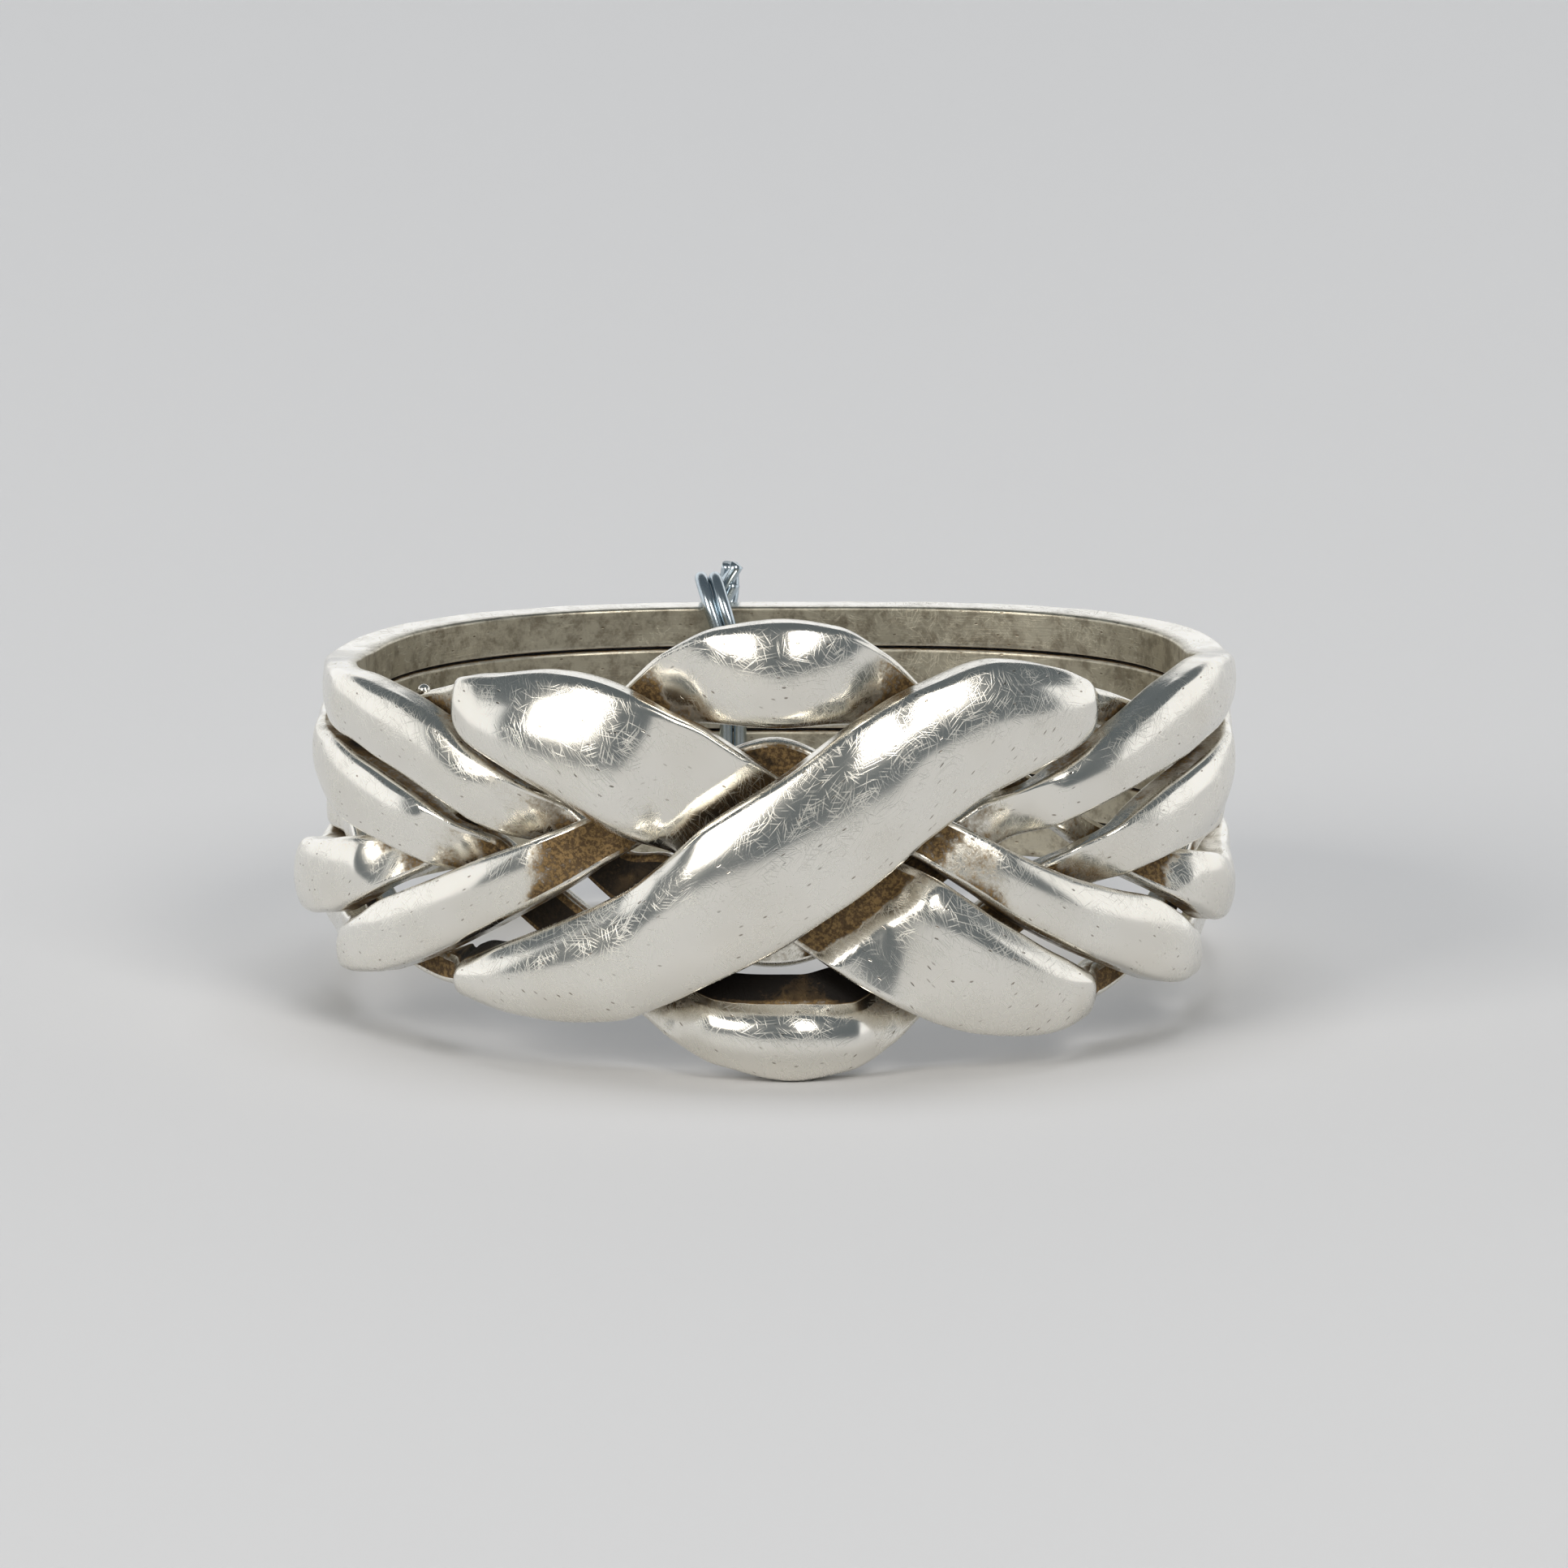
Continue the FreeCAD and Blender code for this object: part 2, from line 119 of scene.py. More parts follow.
bandStations = {
    "band_1": [
        (-90, 2.8, 0.02, 0.53, 0, 0.85, 0.06), (-76, 2.98, 0.4, 0.62, 0, 0.7, 0.12),
        (-64, 2.98, 0.8, 0.76, 0, 0.7, 0.2), (-54, 2.72, 0.85, 0.88, 0, 0.7, 0.25),
        (-46, 2.27, 0.85, 0.93, 0, 0.7, 0.25), (-40, 1.75, 0.85, 0.84, 0, 0.7, 0.22),
        (-36, 1.4, 0.75, 0.8, 0.15, 0.65, 0.18), (-32.5, 1.06, 0.4, 0.76, 0.55, 0.52, 0.08),
        (-28, 0.6, 0.02, 0.68, 0, 0.48, 0), (-20, -0.4, 0, 0.66, 0, 0.48, 0),
        (-14, -0.64, 0, 0.86, 0, 0.52, 0), (-10, -1.25, 0, 0.66, 0, 0.54, 0),
        (0, -1.62, 0, 0.72, 0, 0.56, 0),
        (10, -1.2, 0, 0.66, 0, 0.54, 0), (20, -0.14, 0, 0.66, 0, 0.46, 0),
        (28, 0.7, 0.02, 0.64, 0, 0.48, 0), (32.5, 1.1, 0.4, 0.64, 0.55, 0.52, 0.08),
        (37, 1.48, 0.78, 0.7, 0.1, 0.68, 0.2), (46, 2.12, 0.85, 0.8, 0, 0.7, 0.25),
        (58, 2.8, 0.82, 0.95, 0, 0.7, 0.25), (68, 3.06, 0.65, 0.88, 0, 0.72, 0.22),
        (78, 3.05, 0.35, 0.7, 0, 0.8, 0.15), (92, 2.85, 0.08, 0.55, 0, 0.95, 0.08),
    ],
    "band_2": [
        (-92, 1.66, 0.16, 0.48, 0, 0.84, 0.05), (-84, 1.66, 0.5, 0.52, 0, 0.56, 0.1),
        (-75, 1.47, 0.72, 0.66, 0, 0.62, 0.15), (-64, 1.1, 0.85, 0.88, 0, 0.68, 0.2),
        (-54, 0.76, 0.88, 0.84, 0.03, 0.68, 0.22), (-48, 0.42, 0.8, 0.78, 0.12, 0.65, 0.18),
        (-43.5, 0.02, 0.42, 0.72, 0.62, 0.5, 0.05), (-39, -0.42, 0.04, 0.7, 0, 0.5, 0),
        (-28, -1.62, 0, 0.7, 0, 0.56, 0), (-18, -2.78, 0.02, 0.7, 0, 0.6, 0),
        (-13, -3.27, 0.3, 0.74, -0.2, 0.6, 0.08), (-7, -3.7, 0.75, 0.78, -0.05, 0.72, 0.28),
        (2, -3.9, 0.9, 0.93, 0, 0.75, 0.35), (9, -3.82, 0.68, 0.82, -0.1, 0.7, 0.26),
        (15, -3.38, 0.25, 0.76, -0.2, 0.56, 0.08), (20, -2.8, 0.02, 0.7, 0, 0.58, 0),
        (28, -1.8, 0, 0.68, 0, 0.56, 0), (36, -1, 0.02, 0.66, 0, 0.5, 0),
        (41, -0.55, 0.2, 0.66, 0.5, 0.46, 0), (45, -0.2, 0.56, 0.68, 0.55, 0.5, 0.08),
        (49, 0.12, 0.8, 0.76, 0.18, 0.62, 0.16), (55, 0.5, 0.88, 0.84, 0.03, 0.68, 0.22),
        (64, 0.8, 0.85, 0.9, 0, 0.68, 0.2), (74, 1.22, 0.72, 0.72, 0, 0.62, 0.15),
        (82, 1.48, 0.5, 0.58, 0, 0.58, 0.1), (92, 1.58, 0.15, 0.5, 0, 0.85, 0.06),
    ],
    "band_3": [
        (-98, 0.54, 0, 0.47, 0, 0.95, 0.05), (-90, 0.62, 0, 0.42, 0, 0.55, 0.02),
        (-82, 0.9, 0, 0.4, 0, 0.36, 0), (-72, 1.62, 0, 0.42, 0, 0.5, 0),
        (-62, 2.45, 0, 0.44, 0, 0.6, 0), (-53, 3.05, 0, 0.45, 0, 0.6, 0),
        (-47, 3.38, 0.02, 0.43, 0, 0.58, 0), (-43.5, 3.66, 0.4, 0.42, 0, 0.66, 0.12),
        (-40, 3.54, 0.85, 0.7, 0, 0.78, 0.3), (-36, 3.42, 0.95, 0.93, 0, 0.8, 0.5),
        (-28, 3.18, 0.98, 1.38, 0, 0.8, 0.7), (-18, 2.52, 1.04, 1.74, 0.06, 0.7, 0.62),
        (-13, 2.1, 0.92, 1.72, 0.2, 0.56, 0.24), (-8, 1.5, 0.86, 1.84, 0.1, 0.55, 0.06),
        (0, 0.45, 0.76, 1.84, 0, 0.55, 0.03), (8, -0.58, 0.85, 1.8, -0.1, 0.55, 0.06),
        (13, -1.28, 0.92, 1.68, -0.2, 0.56, 0.1), (18, -1.74, 1.04, 1.72, -0.04, 0.7, 0.36),
        (27, -2.58, 0.98, 1.38, 0, 0.8, 0.48), (36, -3.12, 0.92, 0.88, 0, 0.8, 0.38),
        (40, -3.22, 0.78, 0.6, 0, 0.76, 0.28), (43.5, -3.28, 0.4, 0.4, 0, 0.66, 0.1),
        (47, -3.17, 0.04, 0.4, 0, 0.6, 0), (54, -2.76, 0, 0.42, 0, 0.6, 0),
        (62, -2.17, 0, 0.42, 0, 0.58, 0), (69, -1.52, 0, 0.42, 0, 0.5, 0),
        (75, -0.92, 0.02, 0.36, 0, 0.4, 0), (79, -0.44, 0.2, 0.32, 0, 0.36, 0),
        (84, -0.1, 0.52, 0.34, 0, 0.38, 0), (91, 0.34, 0.52, 0.38, 0, 0.42, 0.03),
        (99, 0.54, 0.25, 0.43, 0, 0.72, 0.05),
    ],
    "band_4": [
        (-99, -0.5, 0, 0.44, 0, 0.9, 0.05), (-90, -0.54, 0, 0.4, 0, 0.46, 0.02),
        (-82, -0.88, 0, 0.4, 0, 0.36, 0), (-72, -1.52, 0, 0.42, 0, 0.48, 0),
        (-62, -2.28, 0, 0.42, 0, 0.58, 0), (-53, -2.76, 0, 0.4, 0, 0.6, 0),
        (-47, -2.92, 0.02, 0.36, 0, 0.6, 0), (-43.5, -2.92, 0.38, 0.33, 0, 0.66, 0.1),
        (-40, -2.84, 0.8, 0.46, 0, 0.78, 0.25), (-34, -2.7, 0.94, 0.8, 0, 0.8, 0.38),
        (-28, -2.5, 0.96, 1.1, 0, 0.8, 0.45), (-18, -1.95, 1.1, 1.5, 0, 0.8, 0.45),
        (-13, -1.38, 1.3, 1.68, 0.05, 0.76, 0.42), (-8, -0.68, 1.46, 1.88, 0.04, 0.75, 0.42),
        (0, 0.27, 1.52, 1.98, 0, 0.75, 0.42), (8, 1.38, 1.46, 2.02, -0.04, 0.75, 0.42),
        (13, 2.02, 1.32, 1.95, -0.06, 0.76, 0.43), (18, 2.6, 1.14, 1.8, 0, 0.8, 0.45),
        (28, 3.36, 0.98, 1.46, 0, 0.8, 0.48), (36, 3.48, 0.94, 1.03, 0, 0.8, 0.4),
        (40, 3.46, 0.8, 0.74, 0, 0.78, 0.3), (43.5, 3.44, 0.4, 0.5, 0, 0.66, 0.12),
        (47, 3.28, 0.02, 0.44, 0, 0.58, 0), (54, 2.86, 0, 0.44, 0, 0.6, 0),
        (62, 2.26, 0, 0.44, 0, 0.58, 0), (70, 1.55, 0, 0.42, 0, 0.5, 0),
        (77, 0.86, 0, 0.38, 0, 0.38, 0), (84, 0.22, 0, 0.36, 0, 0.36, 0),
        (91, -0.32, 0, 0.38, 0, 0.36, 0), (99, -0.53, 0, 0.43, 0, 0.5, 0.02),
    ],
    "band_5": [
        (-98, -1.52, 0.06, 0.46, 0, 0.94, 0.08), (-89, -1.56, 0.58, 0.53, 0, 0.7, 0.12),
        (-78, -1.46, 0.9, 0.88, 0, 0.68, 0.22), (-70, -1.24, 0.82, 0.88, 0, 0.68, 0.22),
        (-63, -0.88, 0.72, 0.78, -0.08, 0.62, 0.18), (-57.5, -0.54, 0.36, 0.62, -0.45, 0.5, 0.06),
        (-52, -0.1, 0.02, 0.5, 0, 0.44, 0), (-46, 0.54, 0, 0.46, 0, 0.42, 0),
        (-39, 1.32, 0, 0.46, 0, 0.42, 0), (-30, 2.3, 0, 0.48, 0, 0.46, 0),
        (-22, 3.25, 0.02, 0.58, 0, 0.58, 0), (-14, 4.2, 0.25, 0.88, 0.2, 0.6, 0.04),
        (-7, 4.58, 0.55, 1.12, 0.1, 0.7, 0.28), (1, 4.66, 0.7, 1.24, 0, 0.75, 0.42),
        (8, 4.56, 0.52, 1.14, 0.1, 0.7, 0.28), (14, 4.16, 0.22, 0.9, 0.2, 0.6, 0.04),
        (22, 3.15, 0, 0.58, 0, 0.58, 0), (28, 2.38, 0, 0.46, 0, 0.44, 0),
        (33, 1.82, 0, 0.42, 0, 0.4, 0), (38, 1.22, 0, 0.42, 0, 0.4, 0), (45, 0.42, 0, 0.42, 0, 0.42, 0),
        (51, -0.18, 0.02, 0.46, 0, 0.44, 0), (57, -0.72, 0.32, 0.54, -0.45, 0.5, 0.04),
        (63, -1.12, 0.68, 0.68, -0.08, 0.62, 0.18), (70, -1.5, 0.7, 0.8, 0, 0.66, 0.2),
        (77, -1.7, 0.6, 0.7, 0, 0.6, 0.18), (84, -1.66, 0.3, 0.62, 0, 0.72, 0.14),
        (92, -1.56, 0.05, 0.5, 0, 0.9, 0.08), (100, -1.5, 0, 0.47, 0, 1, 0.05),
    ],
    "band_6": [
        (-96, -2.56, 0, 0.47, 0, 0.92, 0.05), (-86, -2.76, 0, 0.46, 0, 0.62, 0.05),
        (-77, -2.88, 0.05, 0.46, 0, 0.56, 0.04), (-70, -2.9, 0.44, 0.48, 0, 0.62, 0.1),
        (-66, -2.8, 0.72, 0.56, 0, 0.64, 0.16), (-61, -2.56, 0.8, 0.7, 0, 0.68, 0.2),
        (-55, -2.2, 0.84, 0.86, 0, 0.7, 0.24), (-46, -1.56, 0.84, 0.9, 0, 0.7, 0.24),
        (-38, -0.88, 0.84, 0.88, 0, 0.7, 0.24), (-31, -0.26, 0.82, 0.8, 0, 0.68, 0.2),
        (-25, 0.32, 0.72, 0.72, -0.15, 0.6, 0.08), (-21, 0.78, 0.44, 0.66, -0.42, 0.48, 0),
        (-16, 1.3, 0.08, 0.66, -0.05, 0.52, 0), (-9, 1.88, 0, 0.66, 0, 0.55, 0),
        (0, 2.32, 0, 0.7, 0, 0.55, 0), (8, 1.84, 0, 0.66, 0, 0.55, 0),
        (14, 1.22, 0.04, 0.62, -0.05, 0.52, 0), (18, 0.84, 0.38, 0.62, -0.5, 0.5, 0),
        (21, 0.52, 0.6, 0.68, -0.28, 0.54, 0.04), (25, 0.08, 0.74, 0.74, -0.15, 0.6, 0.1),
        (30, -0.52, 0.82, 0.8, 0, 0.68, 0.2), (39, -1.36, 0.84, 0.86, 0, 0.7, 0.24),
        (46, -1.84, 0.84, 0.92, 0, 0.7, 0.24), (52, -2.2, 0.84, 0.98, 0, 0.7, 0.24),
        (58, -2.58, 0.8, 0.84, 0, 0.68, 0.22), (63, -2.82, 0.72, 0.6, 0, 0.62, 0.15),
        (67, -2.92, 0.42, 0.48, 0, 0.58, 0.08), (72, -2.92, 0.02, 0.44, 0, 0.44, 0.03),
        (80, -2.88, 0, 0.42, 0, 0.36, 0.02), (88, -2.66, 0, 0.44, 0, 0.42, 0.02),
        (98, -2.54, 0, 0.46, 0, 0.65, 0.04),
    ],
}

bandLevels = {"band_1": 2.5, "band_2": 1.5, "band_3": 0.5, "band_4": -0.5, "band_5": -1.5, "band_6": -2.5}

band = {
    "boreRadius": 9.7,
    "rimAngle": 112,
    "rimHalf": 0.47,
    "rimDepth": 1.0,
    "rimCrown": 0.05,
    "squareLeft": 0.08,
    "squareRight": 0.14,
    "stepsRound": 900,
    "outerRound": 0.17,     # rounding of the worn outer edges
    "innerRound": 0.09,
    "cornerShare": 0.42,    # of a side, the most that a rounding takes
    "crownPower": 2.3,
    "unevenness": 0.008,    # how uneven hand filing and wear leave the face
    "swellsPerMm": 0.45,
    "swellShift": 7,        # so that no two bands swell alike
    "edgeWander": 0.014,
    "wandersPerMm": 1.3,
    "mapRadius": 10.7,      # where lengths along the band are measured
}

# How many points each stretch of the section has. They are counted from the middle of the outside,
# up, over the inside and back.
section = {"halfFace": 11, "outerCorner": 8, "side": 5, "innerCorner": 5, "inside": 14}
faceEnd = section["halfFace"] + section["outerCorner"]
sideEnd = faceEnd + section["side"] + section["innerCorner"]
sectionPoints = 2 * sideEnd + section["inside"]
upperEdge = slice(section["halfFace"], faceEnd)
lowerEdge = slice(-faceEnd, -section["halfFace"])
upperSide = slice(faceEnd - 2, sideEnd)

# The angle of every step round the ring
stepAngles = np.arange(band["stepsRound"]) * 360 / band["stepsRound"] - 180


def squareness(angle):
    turned = (angle + 180) % 360 - 180
    if abs(turned) <= 90:
        return 1.0
    share = band["squareLeft"] if turned < 0 else band["squareRight"]
    return 1 + share * math.sin(math.radians(2 * turned)) ** 2


def joinedSlope(before, after, gapBefore, gapAfter):
    if before * after <= 0:
        return 0.0
    weightBefore = 2 * gapAfter + gapBefore
    weightAfter = gapAfter + 2 * gapBefore
    return (weightBefore + weightAfter) / (weightBefore / before + weightAfter / after)


def stationRing(name):
    # the stations closed into a ring, with plain rim at each end of the woven front
    rim = (bandLevels[name], 0, band["rimHalf"], 0, band["rimDepth"], band["rimCrown"])
    stations = [(-band["rimAngle"],) + rim] + bandStations[name] + [(band["rimAngle"],) + rim]
    before = [(s[0] - 360,) + s[1:] for s in stations[-2:]]
    after = [(s[0] + 360,) + s[1:] for s in stations[:2]]
    return before + stations + after


def stationAt(ring, angle):
    place = (angle - ring[2][0]) % 360 + ring[2][0]
    index = max(i for i, s in enumerate(ring) if s[0] <= place)
    p0, p1, p2, p3 = ring[index - 1:index + 3]
    gap = p2[0] - p1[0]
    t = (place - p1[0]) / gap
    values = []
    for column in range(1, 7):
        here = (p2[column] - p1[column]) / gap
        start = joinedSlope((p1[column] - p0[column]) / (p1[0] - p0[0]), here, p1[0] - p0[0], gap)
        end = joinedSlope(here, (p3[column] - p2[column]) / (p3[0] - p2[0]), gap, p3[0] - p2[0])
        value = (2 * t**3 - 3 * t**2 + 1) * p1[column] + (t**3 - 2 * t**2 + t) * gap * start
        value += (3 * t**2 - 2 * t**3) * p2[column] + (t**3 - t**2) * gap * end
        values.append(value)
    return values


def roundedCorner(before, corner, after, size, count):
    # points of a soft corner between two straight sides, at every step round the ring at once
    towardsBefore, towardsAfter = before - corner, after - corner
    start = corner + towardsBefore * np.minimum(size / np.abs(towardsBefore), band["cornerShare"])
    end = corner + towardsAfter * np.minimum(size / np.abs(towardsAfter), band["cornerShare"])
    shares = [(i + 0.5) / count for i in range(count)]
    return [start * (1 - t) ** 2 + corner * (2 * t * (1 - t)) + end * t ** 2 for t in shares]


def straightSide(start, end, count):
    return [start + (end - start) * (i + 0.5) / count for i in range(count)]


def sectionOutlines(values, shape):
    # radius, height, share from inside to outside, and how near a worn edge, for every step and
    # point of the section; radius and height are held as one complex number while it is drawn
    height, lift, half, lean, depth, crown = values.T
    radius = band["boreRadius"] + lift
    insideLow = radius - lean * half + 1j * (height - half)
    insideHigh = radius + lean * half + 1j * (height + half)
    outsideLow, outsideHigh = insideLow + depth, insideHigh + depth
    middleOut = (outsideLow + outsideHigh) / 2
    outer, inner = (band["outerRound"], section["outerCorner"]), (band["innerRound"], section["innerCorner"])
    upperCorner = roundedCorner(outsideLow, outsideHigh, insideHigh, *outer)
    upperInner = roundedCorner(outsideHigh, insideHigh, insideLow, *inner)
    lowerInner = roundedCorner(insideHigh, insideLow, outsideLow, *inner)
    lowerCorner = roundedCorner(insideLow, outsideLow, outsideHigh, *outer)
    points = straightSide(middleOut, upperCorner[0], section["halfFace"]) + upperCorner
    points += straightSide(upperCorner[-1], upperInner[0], section["side"]) + upperInner
    points += straightSide(upperInner[-1], lowerInner[0], section["inside"]) + lowerInner
    points += straightSide(lowerInner[-1], lowerCorner[0], section["side"]) + lowerCorner
    points += straightSide(lowerCorner[-1], middleOut, section["halfFace"])
    points = np.array(points).T
    across = (points.imag - height[:, None]) / half[:, None]
    share = (points.real - (radius[:, None] + lean[:, None] * across * half[:, None])) / depth[:, None]
    share = share.clip(0, 1)
    peak, shoulder = shape[:, 0:1], shape[:, 1:2]
    fromPeak = np.where(across > peak, (across - peak) / (1 - peak), (across - peak) / (1 + peak))
    bulge = crown[:, None] * (1 - np.abs(fromPeak).clip(0, 1) ** band["crownPower"]) * share ** 2
    # a shoulder slopes the upper side down from its inner edge to its outer one
    points = points + 1j * shoulder * (1 - 1.25 * share) * across.clip(0, 1) ** 2
    edge = np.zeros(points.shape)
    edge[:, upperEdge] = edge[:, lowerEdge] = 1
    return np.stack([points.real + bulge, points.imag, share, edge], axis=2)


# How the face of a lobe is dressed: (from angle, to angle, place of the highest line of the crown,
# from -1 at the lower edge to 1 at the upper, slope of the upper side in mm)
dressing = {
    "band_3": [(-38, -9, -0.5, 0), (17, 42, 0.3, 0)],
    "band_2": [(-19, 21, 0, 0.62), (8, 16, 0, 0.2)],
    "band_4": [(-45, -39, 0, 0.3)],
    "band_5": [(-17, 17, -0.15, 0)],
}


def easedBetween(start, end, ease):
    # at every step round the ring: 1 between two angles, falling to 0 over a few degrees outside them
    share = (np.minimum(stepAngles - start, end - stepAngles) / ease + 1).clip(0, 1)
    return share * share * (3 - 2 * share)


def dressedShape(name):
    shape = np.zeros((len(stepAngles), 2))
    for start, end, peak, shoulder in dressing.get(name, []):
        shape += easedBetween(start, end, ease=5.0)[:, None] * np.array([[peak, shoulder]])
    return shape


# Where the band under the top crossing comes out beside it, its face was filed down so that the
# upper band could lie flat: a shallow ledge, then a bevel up to the full face.
crossing = {
    "leftLedge": 0.0, "leftBevel": 0.62, "leftDrop": 0.24,
    "rightLedge": 0.62, "rightBevel": 0.42, "rightDrop": 0.34,
    "slope": 0.78,          # how much of the height counts as distance, as the crossing is slanted
    "fromAngle": -34, "toAngle": 38,
}
overRing = stationRing("band_4")


def filedDrop(grid):
    # how far the face of the band below is filed down beside the band that crosses it
    over = np.array([stationAt(overRing, angle) for angle in stepAngles])
    middle, half = over[:, 0:1], over[:, 2:3]
    heights = grid[:, :, 1]
    upper = heights > middle
    away = (np.abs(heights - middle) - half) * crossing["slope"]
    ledge = np.where(upper, crossing["leftLedge"], crossing["rightLedge"])
    bevel = np.where(upper, crossing["leftBevel"], crossing["rightBevel"])
    drop = np.where(upper, crossing["leftDrop"], crossing["rightDrop"])
    near = (stepAngles > crossing["fromAngle"]) & (stepAngles < crossing["toAngle"])
    return np.where(near[:, None], drop * ((ledge + bevel - away) / bevel).clip(0, 1), 0)


def unevenSurface(grid, seed):
    # slow swells of the hand filed face and a slight wander of its edges
    for step, angle in enumerate(stepAngles):
        along = band["boreRadius"] * math.radians(angle)
        for i in range(sectionPoints):
            _, height, share, edge = grid[step, i]
            if share > 0.5:
                place = Vector((along, height, seed))
                grid[step, i, 0] += band["unevenness"] * noise.noise(place * band["swellsPerMm"])
                if edge:
                    grid[step, i, 1] += band["edgeWander"] * noise.noise(place * band["wandersPerMm"])


def bandGrid(name):
    # radius, height, share and edge at every step round the ring and point of the section
    ring = stationRing(name)
    values = np.array([stationAt(ring, angle) for angle in stepAngles])
    grid = sectionOutlines(values, dressedShape(name))
    if name == "band_3":
        grid[:, :, 0] -= filedDrop(grid) * grid[:, :, 2]
    unevenSurface(grid, bandLevels[name] * band["swellShift"])
    grid[:, :, 0] *= np.array([squareness(angle) for angle in stepAngles])[:, None]
    return grid


# Where oxide was never rubbed off, in hollows of the face and on the stretches that run behind the
# lobes: (from angle, to angle, how much)
oxidePatches = {
    "band_1": [(-24, -6, 1.0), (6, 22, 0.6)],
    "band_2": [(-38, -21, 1.0), (22, 37, 0.6)],
    "band_3": [(43, 50, 0.4)],
    "band_4": [(-52, -43, 0.4)],
    "band_5": [(-20, -16, 0.3), (14, 20, 0.3), (50, 57, 0.3)],
    "band_6": [(-29, -19, 0.5), (-13, 13, 0.5), (17, 27, 0.26)],
}
oxideFiled = 0.5          # on the ledge filed beside the crossing, lower right
bevelClearing = 0.9         # how much oxide and painted shade are taken off the bevel at its upper left
# upper sides darkened with painted shade: (from angle, to angle, how much)
shadedSides = {"band_2": (-17, 19, 0.6), "band_4": (-46, -36, 0.5)}


def easedPlaces(places):
    # how much every step round the ring has of the listed stretches
    total = np.zeros(len(stepAngles))
    for start, end, amount in places:
        total += easedBetween(start, end, ease=3.0) * amount
    return total


def oxideLeft(name, grid):
    # oxide added on the outer face, kept off its rubbed edges
    face = (grid[:, :, 2] ** 2) * (1 - 0.6 * grid[:, :, 3])
    extra = easedPlaces(oxidePatches.get(name, []))[:, None] * face
    if name == "band_3":
        filed = (filedDrop(grid) / crossing["rightDrop"] * 3 - 2).clip(0, 1)
        extra += np.where((stepAngles > 0)[:, None], oxideFiled * filed, 0) * face
    return extra


def paintedShadeChange(name, grid):
    # painted shade added on some upper sides, and oxide and painted shade taken off the bevel of the core
    # band, beyond what being closed in gives
    change = np.zeros(grid.shape[:2])
    if name in shadedSides:
        change[:, upperSide] += easedPlaces([shadedSides[name]])[:, None]
    if name == "band_3":
        bevelled = (filedDrop(grid) / crossing["leftDrop"] * 2).clip(0, 1)
        change -= np.where((stepAngles < 0)[:, None], bevelClearing * bevelled, 0) * grid[:, :, 2]
    return change


def makeBlankRing():
    # a sheet of faces rolled into a ring, which every band starts from; each corner keeps its place
    # on the sheet as its UV, and each point its step round the ring and its place in the section
    steps, middle = band["stepsRound"], band["mapRadius"] * mm
    bm = bmesh.new()
    bmesh.ops.create_grid(bm, x_segments=steps, y_segments=sectionPoints, size=0.5)
    sheet = bm.loops.layers.uv.new("surface")
    for face in bm.faces:
        for corner in face.loops:
            corner[sheet].uv = corner.vert.co.xy + Vector((0.5, 0.5))
    stepLayer, placeLayer = bm.verts.layers.int.new("step"), bm.verts.layers.int.new("place")
    for v in bm.verts:
        step = round((v.co.x + 0.5) * steps) % steps
        place = round((v.co.y + 0.5) * sectionPoints) % sectionPoints
        v[stepLayer], v[placeLayer] = step, place
        turn, spread = 2 * math.pi * step / steps, 2 * math.pi * place / sectionPoints
        radius = middle + mm * math.cos(spread)
        v.co = (-radius * math.sin(turn), radius * math.cos(turn), mm * math.sin(spread))
    bmesh.ops.remove_doubles(bm, verts=bm.verts, dist=0.0001 * mm)
    bmesh.ops.recalc_face_normals(bm, faces=bm.faces)
    return bm


def readValues(items, name, width, kind):
    values = np.zeros(len(items) * width, kind)
    items.foreach_get(name, values)
    return values.reshape(-1, width) if width > 1 else values


def makeBandMesh(name, blank, grid):
    # the blank ring with every point moved to its place on the band
    mesh = bpy.data.meshes.new(name + "_worn")
    blank.to_mesh(mesh)
    steps = readValues(mesh.attributes["step"].data, "value", 1, np.int32)
    places = readValues(mesh.attributes["place"].data, "value", 1, np.int32)
    radius, height = grid[steps, places, 0], grid[steps, places, 1]
    angles = np.radians(stepAngles[steps])
    points = np.stack([radius * np.sin(angles), -radius * np.cos(angles), height], axis=1) * mm
    mesh.vertices.foreach_set("co", points.astype(np.float32).ravel())
    mesh.update()
    return mesh, steps, places


def surroundings(meshes):
    # one search tree of all the bands, to find how closed in each place is
    points, faces, first = [], [], 0
    for mesh, _, _ in meshes.values():
        points += readValues(mesh.vertices, "co", 3, np.float32).tolist()
        corners = readValues(mesh.loops, "vertex_index", 1, np.int32).reshape(-1, 4)
        faces += (corners + first).tolist()
        first = len(points)
    return BVHTree.FromPolygons(points, faces)


# How oxide and painted shade find their places: a place counts as closed in where other metal stands within
# reach
oxideAndShadeSearch = {"reach": 1.5 * mm, "fade": 0.5, "rays": 9, "spread": 0.94, "every": 3, "skin": 0.012 * mm}
goldenTurn = math.pi * (3 - math.sqrt(5))


